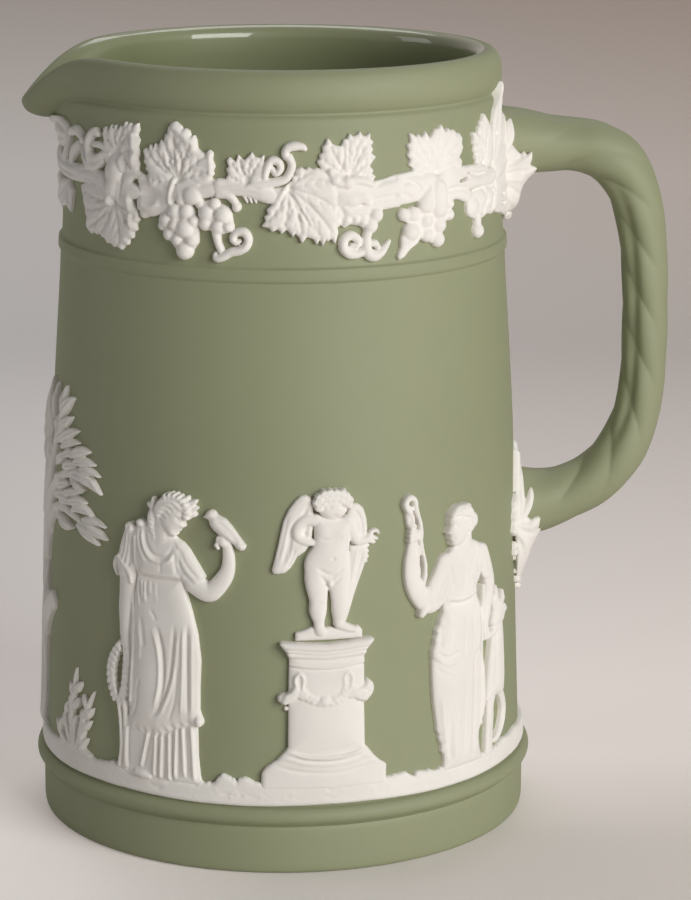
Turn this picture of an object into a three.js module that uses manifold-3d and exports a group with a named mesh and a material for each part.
// Jasperware jug: sage green stoneware body with a pulled lip, a twisted loop handle and white
// applied reliefs (a fruiting vine round the neck, a garden frieze standing on a rock ground).
// Millimetres, +Z up. The axis of the body is the Z axis and the underside lies at z = 0. The lip
// points to -X, the handle to +X, and the side with the frieze that is seen first faces -Y.
import * as THREE from "three";
import Module from "manifold-3d";

const wasm = await Module();
wasm.setup();
const { Manifold } = wasm;

// Driving dimensions of the body
const bodyHeight = 190;
const footRadius = 60.4;
const footGrooveZ = 11.7;
const beadStandout = 1.7; // the bead stands out beyond the foot
const beadRise = 2.7; // from the groove of the foot up to the middle of the bead
const ledgeRise = 2.2; // from the middle of the bead up to the ledge
const ledgeDepth = 2.05; // from the bead in to the line of the wall
const wallTaper = 0.03747; // loss of radius for each millimetre of height
const neckHeight = 45.5; // from the ring up to the crest of the rim
const ringWidth = 3.2;
const neckInset = 0.75; // the neck above the ring is thinner by this much
const rimHeight = 10.1; // from the groove under the rim up to the crest
const rimGrooveDepth = 1.26;
const rimStandout = 0.64; // the band of the rim stands out beyond the neck
const crestInset = 2.8; // from the band in to the crest
const rimThickness = 6.8; // from the band in to the mouth
const wallThickness = 5.2;
const floorZ = 6.5;
const bodySides = 56;

// Places that follow from them
const beadRadius = footRadius + beadStandout;
const beadZ = footGrooveZ + beadRise;
const ledgeZ = beadZ + ledgeRise;
const wallLine = beadRadius - ledgeDepth; // radius of the wall's cone carried down to the table
const ringHighZ = bodyHeight - neckHeight;
const ringLowZ = ringHighZ - ringWidth;
const rimGrooveZ = bodyHeight - rimHeight;
const coneRadius = (z) => wallLine - wallTaper * z;
const neckRadius = (z) => coneRadius(z) - neckInset;
const rimGrooveRadius = neckRadius(rimGrooveZ) - rimGrooveDepth;
const rimBandRadius = neckRadius(rimGrooveZ) + rimStandout;
const crestRadius = rimBandRadius - crestInset;
const mouthRadius = rimBandRadius - rimThickness;

// Driving dimensions of the lip, which is pulled outwards and down from the rim
const lipReach = 11.2;
const lipDrop = 12;
const lipAngle = -90; // degrees, seen from above: 0 faces -Y, +90 faces +X
const lipWidth = 18; // degrees from the middle of the lip to where the pull has mostly died out

// Driving dimensions of the handle
const handleAngle = 90;
const handleTopDrop = 23; // from the crest down to the middle of the upper joint
const handleLowZ = 76; // middle of the lower joint
const handleReach = 29.4; // from the wall's line out to the middle of the grip
const handleThickness = 5.6; // half thickness of the grip in side view, where it is thinnest
const handleDepth = 1.12; // depth of the grip over its thickness in side view
const handleStrands = 4;
const handleTwists = 2.37; // turns of the strands over the length of the handle
const handlePhase = 0.62;
const handleGroove = 0.75; // depth of the grooves on the inner side
const handleRows = 40;
const handleSides = 16;
const handleTopZ = bodyHeight - handleTopDrop;

// Reliefs
const jointGap = 0.3; // slip layer between two pieces
const reliefRadius = 56; // one degree of the drawing is the arc of this radius
const longestRun = 8.5; // longest edge round the body
const backTurn = 201; // the moulds are used again this many degrees round the jug
const groundGap = 0.4; // from the ledge up to the ground strip
const groundHeight = 3.7;
const groundLowZ = ledgeZ + groundGap;
const groundHighZ = groundLowZ + groundHeight;
const figureFootZ = groundHighZ + jointGap;
const vineDrop = 27; // from the crest down to the middle of the vine border
const drawnFootZ = 21; // height of the feet on the drawing board
const drawnVineZ = 163; // height of the middle of the border on the drawing board
const figureLift = figureFootZ - drawnFootZ;
const vineLift = bodyHeight - vineDrop - drawnVineZ;

const degree = Math.PI / 180;
const arc = reliefRadius * degree;

const jasper = { color: 0x98a078, roughness: 0.8, metalness: 0 };
const whiteJasper = { color: 0xece6de, roughness: 0.85, metalness: 0 };

const part = new THREE.Group();
part.name = "jasperware_jug";

// How strongly the lip's pull acts at an angle round the body
function lipPull(angle) {
  let away = (angle - lipAngle) % 360;
  if (away > 180) away -= 360;
  if (away < -180) away += 360;
  return Math.exp(-((away / lipWidth) ** 2));
}

// Outer half of the section, from the underside up: radius, height, share of the lip's reach,
// share of the lip's drop
const footRows = [
  [footRadius - 1.6, 0, 0, 0],
  [footRadius - 0.4, 0.4, 0, 0],
  [footRadius, 1.5, 0, 0],
  [footRadius, footGrooveZ - 0.7, 0, 0],
  [footRadius - 0.5, footGrooveZ, 0, 0],
  [footRadius + 0.1, footGrooveZ + 0.6, 0, 0],
  [beadRadius - 0.5, beadZ - 1.3, 0, 0],
  [beadRadius, beadZ, 0, 0],
  [beadRadius - 0.45, beadZ + 1.4, 0, 0],
  [beadRadius - 1.4, ledgeZ, 0, 0],
];
const upWall = (share) => ledgeZ + (ringLowZ - ledgeZ) * share;
const wallRows = [
  [coneRadius(ledgeZ + 0.1), ledgeZ + 0.1, 0, 0],
  [coneRadius(upWall(0.25)), upWall(0.25), 0, 0],
  [coneRadius(upWall(0.5)), upWall(0.5), 0, 0],
  [coneRadius(upWall(0.75)), upWall(0.75), 0, 0],
  [coneRadius(ringLowZ - 0.5), ringLowZ - 0.5, 0, 0],
  [coneRadius(ringLowZ) - 0.4, ringLowZ, 0, 0],
  [coneRadius(ringLowZ) + 0.15, ringLowZ + 0.5, 0, 0],
  [coneRadius(ringHighZ) + 0.2, ringHighZ, 0, 0],
  [neckRadius(ringHighZ + 0.7), ringHighZ + 0.7, 0, 0],
  [neckRadius(bodyHeight - 34), bodyHeight - 34, 0, 0],
  [neckRadius(bodyHeight - 24), bodyHeight - 24, 0, 0],
  [neckRadius(bodyHeight - 18), bodyHeight - 18, 0.03, 0.2],
  [neckRadius(bodyHeight - 14), bodyHeight - 14, 0.1, 0.43],
  [neckRadius(rimGrooveZ - 1), rimGrooveZ - 1, 0.27, 0.58],
];
const rimRows = [
  [rimGrooveRadius, rimGrooveZ, 0.44, 0.6],
  [rimBandRadius - 1, rimGrooveZ + 0.9, 0.6, 0.67],
  [rimBandRadius - 0.15, rimGrooveZ + 2.8, 0.8, 0.73],
  [rimBandRadius, rimGrooveZ + 4.8, 0.88, 0.77],
  [rimBandRadius - 0.4, bodyHeight - 3, 0.94, 0.86],
  [rimBandRadius - 1.3, bodyHeight - 1, 1, 0.95],
  [crestRadius, bodyHeight, 1.04, 1],
];
const outerSection = [...footRows, ...wallRows, ...rimRows];

// Inner half, from the rim down to the floor
const innerSection = [
  [crestRadius - 2.1, bodyHeight - 0.2, 1.05, 1],
  [mouthRadius + 0.5, bodyHeight - 1, 1.04, 0.97],
  [mouthRadius - 0.1, bodyHeight - 2.4, 0.98, 0.9],
  [mouthRadius, bodyHeight - 6, 0.84, 0.7],
  [coneRadius(bodyHeight - 12) - wallThickness - 0.9, bodyHeight - 12, 0.44, 0.4],
  [coneRadius(bodyHeight - 22) - wallThickness - 0.2, bodyHeight - 22, 0.1, 0.08],
  [coneRadius(bodyHeight - 34) - wallThickness, bodyHeight - 34, 0, 0],
  [coneRadius(upWall(0.75)) - wallThickness, upWall(0.75), 0, 0],
  [coneRadius(upWall(0.35)) - wallThickness, upWall(0.35), 0, 0],
  [coneRadius(floorZ + 7.5) - wallThickness, floorZ + 7.5, 0, 0],
  [coneRadius(floorZ + 2.5) - wallThickness - 1.6, floorZ + 2.5, 0, 0],
  [coneRadius(floorZ + 0.5) - wallThickness - 4.4, floorZ + 0.5, 0, 0],
  [coneRadius(floorZ) - wallThickness - 9, floorZ, 0, 0],
];

function pulled([radius, z, reachShare, dropShare], angle) {
  const pull = lipPull(angle);
  return [radius + lipReach * reachShare * pull, z - lipDrop * dropShare * pull ** 1.6];
}

// Radius of the outer wall under the reliefs
function wallRadius(angle, z) {
  const rows = wallRows.map((row) => pulled(row, angle));
  const above = rows.slice(1, -1).filter((row) => z > row[1]).length;
  const [low, high] = [rows[above], rows[above + 1]];
  const share = Math.min(1, Math.max(0, (z - low[1]) / (high[1] - low[1])));
  return low[0] + (high[0] - low[0]) * share;
}

const direction = (angle) => [Math.sin(angle * degree), -Math.cos(angle * degree)];

function geometryFrom(vertices, triangles) {
  const geometry = new THREE.BufferGeometry();
  geometry.setAttribute("position", new THREE.BufferAttribute(new Float32Array(vertices), 3));
  geometry.setIndex(Array.from(triangles));
  geometry.computeVertexNormals();
  return geometry;
}

function addPiece(name, geometry, look) {
  const mesh = new THREE.Mesh(geometry, new THREE.MeshStandardMaterial(look));
  mesh.name = name;
  part.add(mesh);
}

// A closed skin over a section turned round the Z axis; it starts and ends on the axis
function turnedSkin(section, sides, swell = 0) {
  const vertices = [0, 0, section[0][1] - swell];
  for (const point of section)
    for (let k = 0; k < sides; k++) {
      const angle = (360 * k) / sides;
      const [radius, z] = pulled(point, angle);
      const [dx, dy] = direction(angle);
      vertices.push((radius + swell) * dx, (radius + swell) * dy, z);
    }
  vertices.push(0, 0, section[section.length - 1][1]);
  const end = vertices.length / 3 - 1;
  const at = (row, k) => 1 + row * sides + (k % sides);
  const triangles = [];
  for (let k = 0; k < sides; k++) {
    triangles.push(0, at(0, k + 1), at(0, k));
    triangles.push(end, at(section.length - 1, k), at(section.length - 1, k + 1));
    for (let row = 0; row + 1 < section.length; row++) {
      triangles.push(at(row, k), at(row, k + 1), at(row + 1, k + 1));
      triangles.push(at(row, k), at(row + 1, k + 1), at(row + 1, k));
    }
  }
  return { vertices, triangles };
}

const bodySkin = turnedSkin([...outerSection, ...innerSection], bodySides);
addPiece("jug_body", geometryFrom(bodySkin.vertices, bodySkin.triangles), jasper);

const solidFrom = ({ vertices, triangles }) =>
  new Manifold(
    new wasm.Mesh({
      numProp: 3,
      vertProperties: new Float32Array(vertices),
      triVerts: new Uint32Array(triangles),
    }),
  );

function geometryOf(solid) {
  const made = solid.getMesh();
  return geometryFrom(made.vertProperties, made.triVerts);
}

// Centre line of the handle in side view: how far short of its full reach it is, its height as a
// share of the way from the lower joint to the upper one, and what it is thicker than the grip
const handleRun = [
  [31.45, 0.9978, 2.3],
  [25.45, 0.9923, 1.6],
  [18.95, 0.989, 1.2],
  [13.45, 0.9736, 1.3],
  [8.45, 0.9363, 1],
  [4.25, 0.8769, 0.6],
  [1.85, 0.7945, 0.4],
  [0.65, 0.6978, 0.15],
  [0.05, 0.5714, 0],
  [0, 0.4286, 0],
  [0.65, 0.3187, 0],
  [2.45, 0.2253, 0.3],
  [6.25, 0.1363, 0.7],
  [12.45, 0.0659, 0.9],
  [19.45, 0.0286, 1.3],
  [25.45, 0.0088, 2.2],
];
const handleLine = [
  [neckRadius(handleTopZ), handleTopZ, handleThickness + 2.8],
  ...handleRun.map(([short, share, thicker]) => [
    wallLine + handleReach - short,
    handleLowZ + (handleTopZ - handleLowZ) * share,
    handleThickness + thicker,
  ]),
  [coneRadius(handleLowZ), handleLowZ, handleThickness + 3.6],
];

// The handle as a swept skin whose strands turn round it; its two ends follow the wall of the
// body. The corners of the skin follow the strands, and the grooves are deep on the inner side.
function handleSkin(swell, rowCount, sideCount, twists = handleTwists) {
  const line = new THREE.CatmullRomCurve3(
    handleLine.map(([r, z, half]) => new THREE.Vector3(r, half, z)),
    false,
    "catmullrom",
    0.5,
  );
  const rows = line.getSpacedPoints(rowCount - 1);
  const vertices = [];
  rows.forEach((here, row) => {
    const before = rows[Math.max(0, row - 1)];
    const after = rows[Math.min(rows.length - 1, row + 1)];
    const alongX = after.x - before.x;
    const alongZ = after.z - before.z;
    const long = Math.hypot(alongX, alongZ);
    const share = row / (rows.length - 1);
    const fade = twists ? Math.min(1, 7 * share, 9 * (1 - share)) : 0;
    const start = twists ? twists * share - handlePhase : 0;
    for (let k = 0; k < sideCount; k++) {
      const turn = 2 * Math.PI * (k / sideCount + start);
      const strand = 0.5 + 0.5 * Math.cos((2 * Math.PI * handleStrands * k) / sideCount);
      const inner = 0.2 + 0.8 * (0.5 - 0.5 * Math.cos(turn));
      const half = here.y + swell - handleGroove * fade * strand * inner;
      const out = half * Math.cos(turn);
      const side = half * handleDepth * Math.sin(turn);
      let x = here.x + (out * -alongZ) / long;
      const z = here.z + (out * alongX) / long;
      if (row === 0 || row === rows.length - 1) {
        const wall = wallRadius(handleAngle, z) + jointGap - 2 * swell;
        x = Math.sqrt(wall * wall - side * side);
      }
      vertices.push(x, side, z);
    }
  });
  const ends = [rows[0], rows[rows.length - 1]];
  for (const end of ends)
    vertices.push(wallRadius(handleAngle, end.z) + jointGap - 2 * swell, 0, end.z);
  const first = rowCount * sideCount;
  const at = (row, k) => row * sideCount + (k % sideCount);
  const triangles = [];
  for (let k = 0; k < sideCount; k++) {
    triangles.push(first, at(0, k), at(0, k + 1));
    triangles.push(first + 1, at(rowCount - 1, k + 1), at(rowCount - 1, k));
    for (let row = 0; row + 1 < rowCount; row++) {
      triangles.push(at(row, k), at(row + 1, k), at(row, k + 1));
      triangles.push(at(row + 1, k), at(row + 1, k + 1), at(row, k + 1));
    }
  }
  return { vertices, triangles };
}

const handleShape = handleSkin(0, handleRows, handleSides);
addPiece("handle", geometryOf(solidFrom(handleShape)), jasper);

// Flat drawing board of the reliefs: x is the angle in degrees times arc, y the height above the
// table, z the height above the wall.
const ballSkin = Manifold.sphere(1, 8);
const hexagon = Array.from({ length: 6 }, (_, k) => [Math.cos(60 * k * degree), Math.sin(60 * k * degree)]);
const studSkin = Manifold.hull([
  ...hexagon.map(([x, y]) => [x, y, -0.5]),
  ...hexagon.map(([x, y]) => [x, y, 0.15]),
  [0, 0, 1],
]);

// A lump on the wall: angle, height above table, half width, half height, thickness, turn in
// degrees; a round one is a ball, a plain one a faceted stud
function lump(angle, z, halfWide, halfHigh, thick, turn = 0, skin = ballSkin) {
  return skin
    .scale([halfWide, halfHigh, thick])
    .rotate([0, 0, turn])
    .translate([angle * arc, z, 0]);
}
const stud = (angle, z, halfWide, halfHigh, thick) =>
  lump(angle, z, halfWide, halfHigh, thick, 0, studSkin);

// A chain of ridged strokes through points of angle, height, half width, thickness
function stroke(points) {
  const studs = points.map(([angle, z, half, thick]) => stud(angle, z, half, half, thick));
  return studs.slice(1).map((next, i) => Manifold.hull([studs[i], next]));
}

// A pointed leaf blade from base to tip: angle and height of both, half width, thickness
function blade(baseAngle, baseZ, tipAngle, tipZ, half, thick) {
  const x0 = baseAngle * arc;
  const x1 = tipAngle * arc;
  const long = Math.hypot(x1 - x0, tipZ - baseZ);
  const sx = (half * (tipZ - baseZ)) / long;
  const sy = (half * (x0 - x1)) / long;
  const mid = 0.45;
  const mx = x0 + (x1 - x0) * mid;
  const mz = baseZ + (tipZ - baseZ) * mid;
  return Manifold.hull([
    [x0, baseZ, -0.4],
    [x1, tipZ, -0.4],
    [mx + sx, mz + sy, -0.4],
    [mx - sx, mz - sy, -0.4],
    [x0 + (mx - x0) * 0.3, baseZ + (mz - baseZ) * 0.3, thick * 0.9],
    [x1 + (mx - x1) * 0.3, tipZ + (mz - tipZ) * 0.3, thick * 0.7],
    [mx, mz, thick],
  ]);
}

// A raised slab with bevelled edges over a convex outline of angle and height points
function panel(outline, thick, inset = 0.82) {
  const points = outline.map(([angle, z]) => [angle * arc, z]);
  const midX = points.reduce((sum, p) => sum + p[0], 0) / points.length;
  const midZ = points.reduce((sum, p) => sum + p[1], 0) / points.length;
  return Manifold.hull([
    ...points.map(([x, z]) => [x, z, -0.4]),
    ...points.map(([x, z]) => [x, z, thick * 0.45]),
    ...points.map(([x, z]) => [midX + (x - midX) * inset, midZ + (z - midZ) * inset, thick]),
  ]);
}

// A vine leaf with five toothed lobes; turn is where its tip points, 0 = to the right, 90 = up
const vineLobes = [
  [-142, 0.78],
  [-72, 0.98],
  [0, 1.12],
  [72, 0.98],
  [142, 0.78],
];
function vineLeaf(angle, z, halfWide, halfHigh, turn, thick = 1.5, swell = 0) {
  const outline = [];
  vineLobes.forEach(([lobe, size], i) => {
    if (i < 3) outline.push([lobe + 20, size * 0.8]);
    outline.push([lobe, size]);
    if (i > 1) outline.push([lobe - 20, size * 0.8]);
    if (i < 4) outline.push([lobe + 36, 0.64]);
  });
  outline.push([180, 0.42]);
  outline.sort((a, b) => a[0] - b[0]);
  const count = outline.length;
  const vertices = [];
  const rings = [
    [1, -0.5],
    [1, swell ? 9 : thick * 0.5],
  ];
  for (const [size, up] of rings)
    for (const [around, reach] of outline) {
      const way = (around + turn) * degree;
      const x = (halfWide + swell) * reach * size * Math.cos(way);
      const y = (halfHigh + swell) * reach * size * Math.sin(way);
      vertices.push(angle * arc + x, z + y, up);
    }
  vertices.push(angle * arc, z, -0.5, angle * arc, z, swell ? 9.5 : thick);
  const low = rings.length * count;
  const triangles = [];
  for (let k = 0; k < count; k++) {
    const next = (k + 1) % count;
    triangles.push(low, next, k);
    for (let ring = 0; ring + 1 < rings.length; ring++) {
      const a = ring * count;
      const b = a + count;
      triangles.push(a + k, a + next, b + next, a + k, b + next, b + k);
    }
    triangles.push(count + k, count + next, low + 1);
  }
  return solidFrom({ vertices, triangles });
}

// A hanging bunch: rows of berries between two heights, narrowing to the bottom
function bunch(angle, topZ, lowZ, halfWide, thick = 2.3) {
  const berries = [];
  const rows = Math.max(2, Math.round((topZ - lowZ) / 3.2));
  for (let row = 0; row < rows; row++) {
    const share = row / (rows - 1);
    const across = row === rows - 1 ? 1 : 2 + (row % 2 ? 0 : rows > 2 ? 1 : 0);
    const z = topZ - 1.8 - (topZ - lowZ - 3.6) * share;
    for (let k = 0; k < across; k++) {
      const aside = across === 1 ? 0 : (2 * k) / (across - 1) - 1;
      const out = (aside * (halfWide - 1.8) * (1 - 0.35 * share)) / arc;
      berries.push(stud(angle + out, z, 2.3, 2.4, thick - 0.3 * Math.abs(aside)));
    }
  }
  return berries;
}

// A spiral tendril: stroke that curls up round a centre
function curl(angle, z, radius, startTurn, turns, half, thick) {
  const points = [];
  const steps = Math.round(4 * turns) + 1;
  for (let k = 0; k <= steps; k++) {
    const share = k / steps;
    const way = (startTurn + 360 * turns * share) * degree;
    const reach = radius * (1 - 0.72 * share);
    points.push([
      angle + (reach * Math.cos(way)) / arc,
      z + reach * Math.sin(way),
      half * (1 - 0.25 * share),
      thick,
    ]);
  }
  return stroke(points);
}

// Joins the shapes, cuts them flat at the wall, and lays the result round the body
function relief(shapes, cutters = []) {
  let solid = Manifold.union(shapes.flat(3));
  if (cutters.length) solid = solid.subtract(Manifold.union(cutters.flat(3)));
  return solid.trimByPlane([0, 0, 1], 0).simplify(0.3);
}

// Cuts every edge that runs further round the body than longestRun, so that flat faces follow it
function shortened(vertices, triangles) {
  for (;;) {
    const middles = new Map();
    const middleOf = (a, b) => middles.get(Math.min(a, b) * 1e6 + Math.max(a, b));
    for (let i = 0; i < triangles.length; i++) {
      const a = triangles[i];
      const b = triangles[i % 3 === 2 ? i - 2 : i + 1];
      if (a > b || Math.abs(vertices[3 * a] - vertices[3 * b]) <= longestRun) continue;
      middles.set(a * 1e6 + b, vertices.length / 3);
      for (let c = 0; c < 3; c++) vertices.push((vertices[3 * a + c] + vertices[3 * b + c]) / 2);
    }
    if (!middles.size) return triangles;
    const next = [];
    for (let i = 0; i < triangles.length; i += 3) {
      let corners = triangles.slice(i, i + 3);
      let cuts = corners.map((corner, k) => middleOf(corner, corners[(k + 1) % 3]));
      const count = cuts.filter((cut) => cut !== undefined).length;
      while (count > 0 && count < 3 && (cuts[0] === undefined || cuts[2] !== undefined)) {
        corners = [corners[1], corners[2], corners[0]];
        cuts = [cuts[1], cuts[2], cuts[0]];
      }
      const [a, b, c] = corners;
      const [ab, bc, ca] = cuts;
      if (count === 0) next.push(a, b, c);
      if (count === 1) next.push(a, ab, c, ab, b, c);
      if (count === 2) next.push(ab, b, bc, a, ab, bc, a, bc, c);
      if (count === 3) next.push(a, ab, ca, ab, b, bc, ca, bc, c, ab, bc, ca);
    }
    triangles = next;
  }
}

function laid(solid, turn, lift = 0) {
  const flat = solid.getMesh();
  const vertices = Array.from(flat.vertProperties);
  const triangles = shortened(vertices, Array.from(flat.triVerts));
  for (let i = 0; i < vertices.length; i += 3) {
    const angle = vertices[i] / arc + turn;
    const z = vertices[i + 1] + lift;
    const radius = wallRadius(angle, z) + jointGap + vertices[i + 2];
    const [dx, dy] = direction(angle);
    vertices[i + 2] = z;
    vertices[i] = radius * dx;
    vertices[i + 1] = radius * dy;
  }
  return geometryFrom(vertices, triangles);
}

// Lays a relief on both sides of the jug, at its height above the drawing
function addRelief(name, solid, lift) {
  addPiece(`${name}_front`, laid(solid, 0, lift), whiteJasper);
  addPiece(`${name}_back`, laid(solid, backTurn, lift), whiteJasper);
}
const addFigure = (name, solid) => addRelief(name, solid, figureLift);
const addVine = (name, solid) => addRelief(name, solid, vineLift);

// A box on the drawing board, used to end a stroke squarely
const block = (angle0, angle1, z0, z1, high = 9) =>
  Manifold.cube([(angle1 - angle0) * arc, z1 - z0, high + 1]).translate([angle0 * arc, z0, -1]);

// Rock ground that the frieze stands on: a strip whose upper edge rises between the figures
const groundThick = 1.25;
const groundStart = -96;
const groundStep = 4.8;
const rocks = [
  [-45.8, 1],
  [-14, 2.2],
  [-9.6, 1.8],
  [28, 1.2],
  [34, 1.1],
  [72, 1.4],
];
function groundStrip(first, last, shift) {
  const steps = Math.ceil((last - first) / groundStep);
  const vertices = [];
  for (let k = 0; k <= steps; k++) {
    const angle = first + ((last - first) * k) / steps;
    let rise = 0;
    for (const [rock, high] of rocks) rise = Math.max(rise, high * (1 - Math.abs(angle - rock - shift) / 3.6));
    const x = angle * arc;
    vertices.push(x, groundLowZ, 0, x, groundLowZ, groundThick);
    vertices.push(x, groundHighZ + rise, groundThick, x, groundHighZ + rise, 0);
  }
  const triangles = [0, 1, 2, 0, 2, 3];
  for (let k = 0; k < steps; k++)
    for (let c = 0; c < 4; c++) {
      const a = 4 * k + c;
      const b = 4 * k + ((c + 1) % 4);
      triangles.push(a, a + 4, b + 4, a, b + 4, b);
    }
  const end = 4 * steps;
  triangles.push(end, end + 2, end + 1, end, end + 3, end + 2);
  return solidFrom({ vertices, triangles });
}
const groundTurn = backTurn - 12;
const groundJoint = jointGap / arc;
addPiece(
  "ground_strip_front",
  laid(groundStrip(groundStart, groundStart + groundTurn - groundJoint, 0), 0),
  whiteJasper,
);
addPiece(
  "ground_strip_back",
  laid(
    groundStrip(groundStart, groundStart + 360 - groundTurn - groundJoint, backTurn - groundTurn),
    groundTurn,
  ),
  whiteJasper,
);

// Tree at the lip end of the frieze, with a sawn-off branch
const treeBlades = [
  [-60, 79, -46.2, 77, 1.5],
  [-60, 78.5, -49, 75.2, 1.5],
  [-62, 80.5, -51.5, 81.4, 1.3],
  [-74, 80, -56.5, 87, 2.3],
  [-68, 79.5, -59, 77.3, 1.7],
  [-64, 90, -48.4, 87.4, 1.7],
  [-64, 91.5, -50.8, 94.2, 1.4],
  [-65, 92, -53, 97, 1.5],
  [-72, 93, -58.6, 101, 1.8],
  [-72, 95, -62, 103.8, 1.7],
  [-71, 99, -61.6, 108.6, 1.9],
  [-72, 100, -66.8, 110.6, 1.6],
  [-80, 94, -77, 110, 1.9],
  [-81, 93, -83, 107, 1.9],
  [-81, 92, -86.5, 102, 1.8],
  [-83, 88, -89, 96, 1.7],
];
const tree = relief([
  stroke([
    [-85, 22.8, 3.2, 2],
    [-84.5, 40, 2.7, 2],
    [-84, 58, 2.5, 2],
    [-83, 74, 2.3, 2],
    [-77, 84, 2, 1.9],
    [-73, 93, 1.5, 1.7],
    [-71, 101, 1, 1.5],
  ]),
  stroke([
    [-84, 68, 2.1, 1.8],
    [-76, 77.3, 1.7, 1.7],
    [-66, 80.5, 1.2, 1.5],
    [-58, 79.8, 0.9, 1.2],
  ]),
  stroke([
    [-78, 81, 1.6, 1.7],
    [-69, 88, 1.2, 1.5],
    [-60, 90.8, 0.9, 1.3],
  ]),
  stroke([
    [-83, 74, 1.9, 1.7],
    [-83, 86, 1.4, 1.6],
    [-80, 97, 1, 1.4],
  ]),
  stroke([
    [-84.5, 47.5, 3, 2],
    [-76, 55, 2.4, 1.7],
    [-73.4, 56.6, 1.8, 1.3],
  ]),
  treeBlades.map((b) => blade(...b, 1.7)),
  panel(
    [
      [-88.5, drawnFootZ],
      [-81, drawnFootZ],
      [-82, 25],
      [-87.5, 25],
    ],
    2,
  ),
], [block(-95, -70, 10, drawnFootZ)]);
addFigure("tree", tree);

// Low shrub beside it
const shrub = relief([
  lump(-58, 22.6, 7, 1.5, 1.3),
  panel(
    [
      [-67, drawnFootZ],
      [-51, drawnFootZ],
      [-54.6, 26.4],
      [-61.6, 26.4],
    ],
    1.2,
  ),
  [
    [-62, 22, -69.4, 26.6, 1.6],
    [-60, 22, -63, 31.6, 1.5],
    [-59, 23, -60.6, 35, 1.4],
    [-58.6, 24, -58, 42.6, 1.8],
    [-58, 28, -55.2, 40, 1.2],
    [-57, 24, -55, 35, 1.3],
    [-56.5, 24, -50.2, 38.8, 1.5],
    [-56, 24, -51.4, 30.8, 1.2],
    [-56, 22, -53.4, 29, 1.4],
  ].map((b) => blade(...b, 1.5)),
], [block(-80, -40, 10, drawnFootZ)]);
addFigure("shrub", shrub);

// First maiden: holds a bird on her raised hand and a wreath in the lowered one
const maidenOne = relief([
  panel(
    [
      [-40.6, drawnFootZ + 0.4],
      [-30, drawnFootZ],
      [-19.6, drawnFootZ + 0.6],
      [-20.2, 36],
      [-19.4, 50],
      [-40.2, 38],
      [-38, 50],
    ],
    1.7,
    0.9,
  ),
  panel(
    [
      [-38, 50],
      [-39.6, 36],
      [-19.2, 36.5],
      [-19.3, 50],
      [-20.8, 61],
      [-24.4, 70],
      [-35.4, 70],
      [-37.4, 60],
    ],
    2.1,
    0.85,
  ),
  panel(
    [
      [-38.6, 77],
      [-37, 81.6],
      [-32, 82.4],
      [-26, 81],
      [-23.2, 78],
      [-23.6, 71],
      [-25, 69],
      [-35.6, 69],
      [-38, 72],
    ],
    2.2,
    0.84,
  ),
  stroke([
    [-30.6, 80, 2.4, 2],
    [-28, 84, 2.2, 2.2],
  ]),
  lump(-27, 86.4, 4.1, 4.7, 2.8, 8),
  lump(-22.6, 88.2, 2, 2, 2.2),
  lump(-31.5, 87.4, 1.5, 2.4, 1.7),
  stroke([
    [-24.4, 76, 3.2, 2.2],
    [-17.8, 68.6, 2.2, 2.2],
    [-13.8, 73.6, 1.9, 2],
    [-12.9, 79.6, 1.2, 1.8],
  ]),
  lump(-13.4, 80.6, 1.5, 1.3, 1.8),
  stroke([
    [-17.4, 87, 1.1, 1.7],
    [-14.8, 84.8, 1.9, 2.1],
    [-11.6, 81.6, 1.5, 1.8],
    [-8.9, 79.9, 0.8, 1.1],
  ]),
  stroke([
    [-38, 77.4, 2.8, 2.3],
    [-39.8, 68, 2.2, 2.1],
    [-40.2, 56, 1.6, 1.9],
    [-38.9, 50.5, 1.2, 1.8],
  ]),
  stroke([
    [-36.4, 70, 1.1, 2.2],
    [-36.8, 54, 1.2, 2.1],
    [-36.8, 39, 1.1, 1.9],
  ]),
  lump(-41.6, 72, 0.9, 2.2, 1.5),
  lump(-41.4, 46.2, 2.9, 6.6, 1.7),
  stroke([
    [-31, 58, 0.8, 2.4],
    [-28.6, 48, 0.9, 2.5],
    [-29.6, 39, 0.8, 2.3],
  ]),
  [-37, -30.4, -24].map((angle) =>
    stroke([
      [angle, 33, 0.7, 1.9],
      [angle, drawnFootZ + 1, 0.8, 2.1],
    ]),
  ),
], [block(-60, 0, 10, drawnFootZ)]);
addFigure("maiden_with_bird", maidenOne);

// Round garlanded altar
const altar = relief([
  panel(
    [
      [-4.9, drawnFootZ],
      [23.9, drawnFootZ],
      [23.9, 26],
      [-4.9, 26],
    ],
    1.9,
    0.96,
  ),
  panel(
    [
      [-4.4, 26],
      [23.4, 26],
      [19.6, 30.4],
      [-0.4, 30.4],
    ],
    2.2,
    0.94,
  ),
  panel(
    [
      [0.9, 29],
      [18.4, 29],
      [18.9, 54],
      [1.2, 54],
    ],
    2.5,
    0.8,
  ),
  panel(
    [
      [0.8, 51],
      [19.1, 51],
      [19.6, 55],
      [0.2, 55],
    ],
    2.7,
    0.9,
  ),
  panel(
    [
      [-0.9, 56.6],
      [0.4, 54.6],
      [19.6, 54.6],
      [20.9, 56.8],
      [20, 57.2],
      [0, 57.2],
    ],
    2.9,
    0.95,
  ),
  stroke([
    [0.6, 44.4, 1.4, 2.3],
    [5, 42.4, 1.2, 3],
    [14.6, 42.4, 1.2, 3],
    [19.4, 45, 1.4, 2.3],
  ]),
], [block(-10, 30, 10, drawnFootZ)]);
addFigure("altar", altar);

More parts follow.
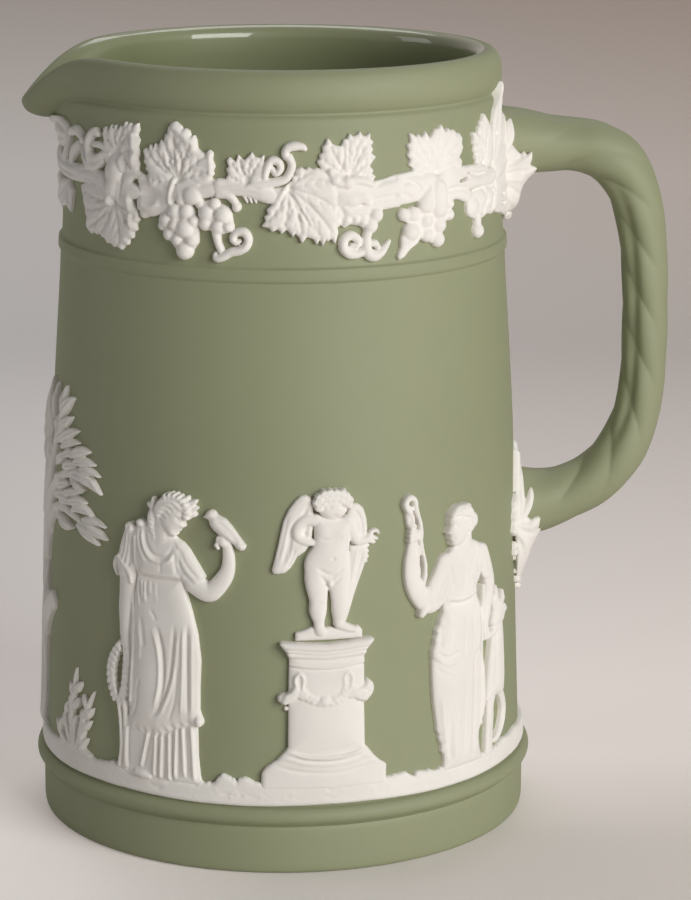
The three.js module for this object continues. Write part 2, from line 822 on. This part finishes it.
// Winged child standing on a mound on the altar
const mound = 57.5;
const child = relief([
  panel(
    [
      [2.6, mound],
      [18.2, mound],
      [18.2, 59.4],
      [14, 61],
      [6, 60.8],
      [2.6, 59.6],
    ],
    1.8,
    0.92,
  ),
  stroke([
    [8, 61.8, 1.3, 1.9],
    [8, 65.6, 1.4, 2],
    [7.6, 71, 2.1, 2.3],
    [8, 76, 2.6, 2.5],
  ]),
  stroke([
    [13.6, 61.8, 1.4, 1.9],
    [12.6, 65.6, 1.4, 2],
    [12.6, 71, 2.1, 2.3],
    [12, 76, 2.6, 2.5],
  ]),
  panel(
    [
      [6.4, 76],
      [4.9, 72],
      [14.6, 73],
      [14.6, 83],
      [13.6, 86.6],
      [8, 86.6],
      [6.4, 82],
    ],
    2.7,
    0.8,
  ),
  lump(11.6, 89, 3.7, 4.1, 3),
  stroke([
    [7.6, 84.6, 1.6, 2.4],
    [4.4, 83.6, 1.4, 2.2],
    [5.6, 80.6, 1.2, 2.3],
  ]),
  stroke([
    [13.8, 84, 1.5, 2.4],
    [16.6, 80.8, 1.2, 2.2],
    [20.6, 81.8, 0.9, 1.8],
  ]),
  blade(7.4, 88, -2.6, 74, 3.1, 1.8),
  stroke([
    [6.2, 87.6, 1.6, 2],
    [4.4, 90.2, 1.5, 1.9],
    [1.4, 86, 1.5, 1.7],
    [-1.4, 75.6, 1.1, 1.3],
  ]),
  stroke([
    [15.4, 85.6, 1.4, 1.9],
    [17.2, 88, 1.4, 1.8],
    [18.6, 84.6, 1.1, 1.6],
  ]),
  stroke([
    [19.4, 80, 1.3, 1.7],
    [17.2, 74, 1.4, 1.8],
    [14.9, 64.4, 0.7, 1.5],
  ]),
], [block(-10, 30, 10, mound)]);
addFigure("winged_child", child);

// Second maiden: a serpent is looped round her raised hand, the other rests on the hound
const restingArm = (swell) =>
  stroke([
    [52.8, 72.4, 2.9 + swell, 2.2],
    [56.4, 65, 2.1 + swell, 2.1],
    [54.8, 58.6, 1.5 + swell, 2],
    [54.4, 53, 1.3 + swell, 1.8],
  ]);
const maidenTwo = relief([
  panel(
    [
      [40.2, drawnFootZ],
      [52.2, drawnFootZ],
      [53, 30],
      [54, 40],
      [54.2, 50],
      [36.8, 50],
      [36.7, 40],
      [38.4, 30],
    ],
    2.1,
    0.86,
  ),
  panel(
    [
      [36.8, 50],
      [54, 50],
      [52.4, 60],
      [51, 66],
      [52.6, 71],
      [50, 75.6],
      [43, 75.6],
      [39.6, 71.4],
      [40.2, 64],
      [38.4, 58],
    ],
    2.3,
    0.84,
  ),
  stroke([
    [46.6, 74, 2.6, 2],
    [46, 78, 2.4, 2.2],
  ]),
  lump(45.6, 80.8, 4.6, 4.5, 2.8),
  stroke([
    [41, 69.6, 2.8, 2.1],
    [35.6, 63.4, 2.1, 2.1],
    [31.2, 69, 1.9, 1.9],
    [30.6, 76.4, 1.5, 1.8],
  ]),
  stroke([
    [33.8, 68.6, 0.6, 1.3],
    [34.2, 73.6, 0.5, 1.2],
    [32.6, 80, 0.6, 1.3],
    [31.4, 89.2, 0.6, 1.2],
    [29.8, 88.6, 0.7, 1.2],
    [30.6, 76.4, 0.9, 1.4],
  ]),
  restingArm(0),
  [42.4, 49.6].map((angle) =>
    stroke([
      [angle, 44, 0.8, 2.4],
      [angle * 0.7 + 46.4 * 0.3, drawnFootZ + 1, 0.9, 2.3],
    ]),
  ),
  stroke([
    [38.6, 52, 0.8, 2.5],
    [44, 49, 0.9, 2.7],
    [49.6, 48.4, 0.8, 2.5],
  ]),
], [block(25, 70, 10, drawnFootZ)]);
addFigure("maiden_with_serpent", maidenTwo);

// Hound that sits up beside her
const hound = relief(
  [
    stroke([
      [58.6, 57.6, 2.4, 2],
      [61.6, 57.4, 1.9, 1.9],
      [64.2, 56.2, 0.9, 1.5],
    ]),
    blade(59.6, 58, 60.2, 63, 1.1, 1.7),
    blade(61.6, 58, 63.4, 61.6, 0.9, 1.6),
    stroke([
      [60.4, 55, 3, 2.1],
      [60, 44, 3.3, 2.2],
      [60.4, 37.6, 2.6, 2],
    ]),
    stroke([
      [57.6, 44, 1.6, 1.9],
      [56.6, 35, 1.2, 1.7],
      [56, 23, 1, 1.5],
    ]),
    lump(56.2, 22.2, 1.4, 1, 1.3),
    stroke([
      [62.2, 37, 1.6, 1.7],
      [63.8, 31.4, 1, 1.4],
      [61.8, 26, 0.8, 1.3],
      [58.8, 23.6, 0.8, 1.2],
      [56.2, 22.4, 0.8, 1.2],
    ]),
  ],
  [
    restingArm(jointGap).map((s) => s.scale([1, 1, 4])),
    block(50, 54.6, 20, 80),
    block(50, 70, 10, drawnFootZ),
  ],
);
addFigure("hound", hound);

// Vine border: seven lengths on each side, butted end to end along the stem
const stemBlock = (first, last) => block(first + jointGap / 2 / arc, last - jointGap / 2 / arc, 140, 180);
const stemOf = (first, last, points) =>
  Manifold.union(stroke(points)).intersect(stemBlock(first, last));

addVine(
  "vine_bud",
  relief([
    stemOf(-88, -61.4, [
      [-92, 162.6, 1.8, 1.4],
      [-76, 162.4, 1.9, 1.6],
      [-58, 163.2, 2.2, 1.6],
    ]),
    lump(-75.5, 170.4, 6.4, 3.7, 2),
    stroke([
      [-71, 170, 1.3, 1.7],
      [-66.4, 172, 1.1, 1.5],
      [-62.6, 171.4, 1.1, 1.5],
      [-64, 168.4, 1.1, 1.5],
      [-68, 165.4, 1, 1.5],
    ]),
    vineLeaf(-74.5, 156.8, 7.4, 5.2, -20),
    stroke([
      [-74, 157, 1.1, 1.5],
      [-72, 162.6, 1.1, 1.5],
    ]),
    stroke([
      [-70, 164, 1.1, 1.5],
      [-72, 169, 1.1, 1.6],
    ]),
  ]),
);
addVine(
  "vine_leaf_pair",
  relief([
    stemOf(-61.4, -37.6, [
      [-62, 163.2, 2, 1.5],
      [-52, 164.6, 2, 1.7],
      [-44, 162, 2, 1.9],
      [-35, 160.6, 2, 1.5],
    ]),
    curl(-55, 169.4, 3.4, -60, 0.9, 1.4, 1.7),
    vineLeaf(-44.8, 170.4, 6.4, 6.4, 80),
    stroke([
      [-45.6, 164, 1.3, 1.8],
      [-44.8, 170, 1.1, 1.6],
    ]),
    vineLeaf(-48.6, 156.2, 10, 9, -52),
    lump(-46.4, 163.8, 3.4, 3, 2.6),
  ], [block(-37.6 - 0.15, -20, 140, 180)]),
);
addVine(
  "vine_grapes_left",
  relief([
    stemOf(-37.6, -15, [
      [-39, 161.4, 2.2, 1.5],
      [-30, 161.6, 2, 1.7],
      [-22, 162.6, 2, 1.9],
      [-13, 162.8, 1.7, 1.5],
    ]),
    vineLeaf(-27.2, 168.4, 9.6, 9, 82, 1.7),
    bunch(-26, 159.8, 146.4, 5.4),
    stroke([
      [-26, 163, 1.3, 1.9],
      [-26, 157, 1.2, 1.9],
    ]),
    stroke([
      [-17.4, 163, 1.3, 1.8],
      [-17, 157, 1.2, 1.8],
    ]),
    bunch(-17, 160, 151.2, 4.6),
    stroke([
      [-17.4, 152.4, 1.2, 1.8],
      [-15.4, 148.8, 1, 1.6],
      [-18.4, 147.6, 0.8, 1.4],
    ]),
    curl(-11.4, 151.4, 2.7, -160, 1.3, 1.1, 1.7),
    stroke([
      [-15.6, 149.2, 1, 1.6],
      [-13.4, 149.6, 1, 1.6],
    ]),
  ], [block(-45, -37.6 + 0.15, 140, 180), block(-15 - 0.15, 0, 161, 180)]),
);
const leafMiddle = (swell) => vineLeaf(3.8, 159, 9.4, 8.8, -48, 1.7, swell);
addVine(
  "vine_leaf_middle",
  relief([
    stemOf(-15, 3, [
      [-17, 162.6, 1.7, 1.5],
      [-8, 163, 1.9, 1.8],
      [6, 162, 2, 1.8],
    ]),
    stroke([
      [-12, 161.6, 0.9, 1.4],
      [-11.4, 159.6, 1, 1.3],
    ]),
    vineLeaf(-9.2, 167.6, 5.2, 4.4, 92, 1.4),
    stroke([
      [-9.4, 163, 1.1, 1.6],
      [-9.2, 168, 0.9, 1.4],
    ]),
    curl(-1.8, 167.8, 2.5, 10, 1.2, 0.9, 1.7),
    stroke([
      [-5, 164.4, 1, 1.6],
      [-0.6, 165.6, 1, 1.7],
      [1.4, 168, 1.1, 1.7],
      [1.2, 170.6, 1.1, 1.7],
      [4.6, 172.8, 0.8, 1.3],
    ]),
    leafMiddle(0),
  ], [block(-30, -15 + 0.15, 161, 180)]),
);
addVine(
  "vine_grapes_middle",
  relief(
    [
      vineLeaf(16.2, 168.6, 8, 8, 78, 1.6),
      vineLeaf(18.8, 160.4, 6.6, 5.8, -60, 1.9),
      bunch(18.8, 162, 152.2, 5.6, 2.2),
      stemOf(14, 27.4, [
        [16, 161.8, 2, 1.7],
        [29, 161.8, 2.9, 1.6],
      ]),
      curl(16.6, 150.4, 2.5, 20, 1.1, 1, 1.7),
      stroke([
        [19.6, 154, 1, 1.6],
        [19.4, 149.6, 1.2, 1.7],
        [22.4, 147.6, 1.2, 1.6],
        [25.6, 149.8, 0.7, 1.2],
      ]),
    ],
    [leafMiddle(0.35)],
  ),
);
addVine(
  "vine_grapes_right",
  relief([
    stemOf(27.4, 52, [
      [25, 161.8, 2.9, 1.6],
      [34, 163.6, 2, 1.8],
      [46, 162.6, 2.2, 1.9],
      [54, 162, 1.9, 1.6],
    ]),
    vineLeaf(41.8, 169.6, 9.6, 7.2, 86, 1.6),
    stroke([
      [42.4, 163, 1.4, 1.8],
      [41.8, 170, 1.1, 1.6],
    ]),
    bunch(41, 163, 148, 5.8, 2.5),
    lump(33, 157.4, 3.6, 2.6, 1.9),
    blade(35.4, 156, 29.2, 146.2, 2.6, 2),
  ]),
);
addVine(
  "vine_end",
  relief([
    stemOf(52, 70, [
      [50, 162, 1.9, 1.6],
      [60, 161.4, 2, 1.7],
      [74, 162, 2, 1.6],
    ]),
    vineLeaf(61, 166.4, 6.4, 6.8, 84, 1.6),
    panel(
      [
        [53.4, 154.6],
        [58, 152.6],
        [69.4, 153.6],
        [69.6, 159.6],
        [56, 161],
      ],
      1.9,
    ),
    stroke([
      [57.6, 154, 1.6, 1.8],
      [57.6, 150, 2.1, 1.9],
    ]),
  ], [block(67.4, 90, 140, 180)]),
);

// Leaf sprays that cover the two joints of the handle. Each is a collar of blades round the
// joint, hollowed where the handle and the body are.
const bodyClearance = solidFrom(turnedSkin(outerSection, bodySides, jointGap));
const handleClearance = solidFrom(handleSkin(jointGap + 0.55, 18, 12, 0));

// A blade in space between two points, given by angle from the handle, height above the joint and
// distance out from the wall, with a half width and a thickness
function sprayBlade(jointZ, [angle0, up0, out0], [angle1, up1, out1], half, thick) {
  const place = (angle, up, out) => {
    const [dx, dy] = direction(handleAngle + angle);
    const r = wallRadius(handleAngle, jointZ + up) + out;
    return [r * dx, r * dy, jointZ + up];
  };
  const a = place(angle0, up0, out0);
  const b = place(angle1, up1, out1);
  const way = new THREE.Vector3(b[0] - a[0], b[1] - a[1], b[2] - a[2]);
  const out = new THREE.Vector3(...direction(handleAngle + (angle0 + angle1) / 2), 0);
  const side = new THREE.Vector3().crossVectors(way, out).normalize().multiplyScalar(half);
  out.multiplyScalar(thick);
  const points = [a, b];
  for (const sign of [-1, 1])
    points.push([
      a[0] + way.x * 0.45 + side.x * sign,
      a[1] + way.y * 0.45 + side.y * sign,
      a[2] + way.z * 0.45 + side.z * sign,
    ]);
  const deep = points.slice(0, 2).map(([x, y, z]) => [x - out.x, y - out.y, z]);
  const ridge = [a[0] + way.x * 0.5, a[1] + way.y * 0.5, a[2] + way.z * 0.5];
  return Manifold.hull([...points, ...deep, ridge.map((value, i) => value + out.getComponent(i) * 0.5)]);
}

function spray(name, jointZ, joint, blades) {
  const [jointWide, jointHigh] = joint;
  const wall = wallRadius(handleAngle, jointZ);
  const [dx, dy] = direction(handleAngle);
  const collar = Manifold.sphere(1, 8)
    .scale([4.6, jointWide, jointHigh])
    .rotate([0, 0, Math.atan2(dy, dx) / degree])
    .translate([wall * dx, wall * dy, jointZ]);
  const shapes = [collar];
  for (const [from, to, half, thick] of blades) {
    shapes.push(sprayBlade(jointZ, from, to, half, thick));
    if (to[0] !== 0 || from[0] !== 0)
      shapes.push(
        sprayBlade(jointZ, [-from[0], from[1], from[2]], [-to[0], to[1], to[2]], half, thick),
      );
  }
  const solid = Manifold.union(shapes)
    .subtract(bodyClearance)
    .subtract(handleClearance)
    .simplify(0.25);
  const pieces = solid.decompose().sort((a, b) => b.volume() - a.volume());
  addPiece(name, geometryOf(pieces[0]), whiteJasper);
}

spray("handle_leaf_upper", handleTopZ - 1, [12.4, 13], [
  [[0, 6, 2.14], [0, 15.4, 2.2], 3.2, 2.6],
  [[-8, 4, 2.67], [-5, 15, 2], 2.6, 2.4],
  [[-10, 2, 2.39], [-16.5, 11, 1.95], 3.2, 2.2],
  [[-10, 1, 2.32], [-20.6, 5.4, 1.49], 3.2, 2.2],
  [[-10, -3, 2.41], [-22, -5.2, 1.33], 3, 2.2],
  [[-9, -6, 2.5], [-17, -13.6, 1.21], 2.8, 2.2],
  [[-7, -8, 2.62], [-9, -18.4, 1.63], 2.6, 2.4],
  [[0, -8, 3.02], [0, -19.2, 2], 3, 2.6],
  [[-12, 2, 2.99], [-8.8, 5, 7.71], 2.2, 1.8],
  [[-12, -2, 2.85], [-8.2, -2.4, 9.83], 2.8, 1.9],
  [[-10, -6, 3.1], [-5.4, -7.2, 8.25], 2.4, 1.8],
]);
spray("handle_leaf_lower", handleLowZ, [12.6, 12.6], [
  [[0, 6, 2.42], [0, 13.4, 1.9], 3, 2.4],
  [[-7, 4, 2.55], [-5.6, 13, 1.68], 2.4, 2.2],
  [[-9, 1.6, 2.47], [-14.2, 8.6, 1.55], 3, 2.2],
  [[-9, 0.4, 2.4], [-16, 2.2, 1.25], 3, 2.2],
  [[-8, -3, 2.49], [-15, -8.6, 1.28], 2.8, 2.2],
  [[-7, -6, 2.57], [-9, -15.4, 1.62], 2.6, 2.4],
  [[0, -6, 2.97], [0, -21.2, 1], 3.2, 2.6],
  [[-11, 3, 2.51], [-8, 4, 6.35], 2.2, 1.8],
  [[-10, -2, 2.52], [-6.6, -5.4, 7.4], 2.6, 1.9],
]);

export default part;
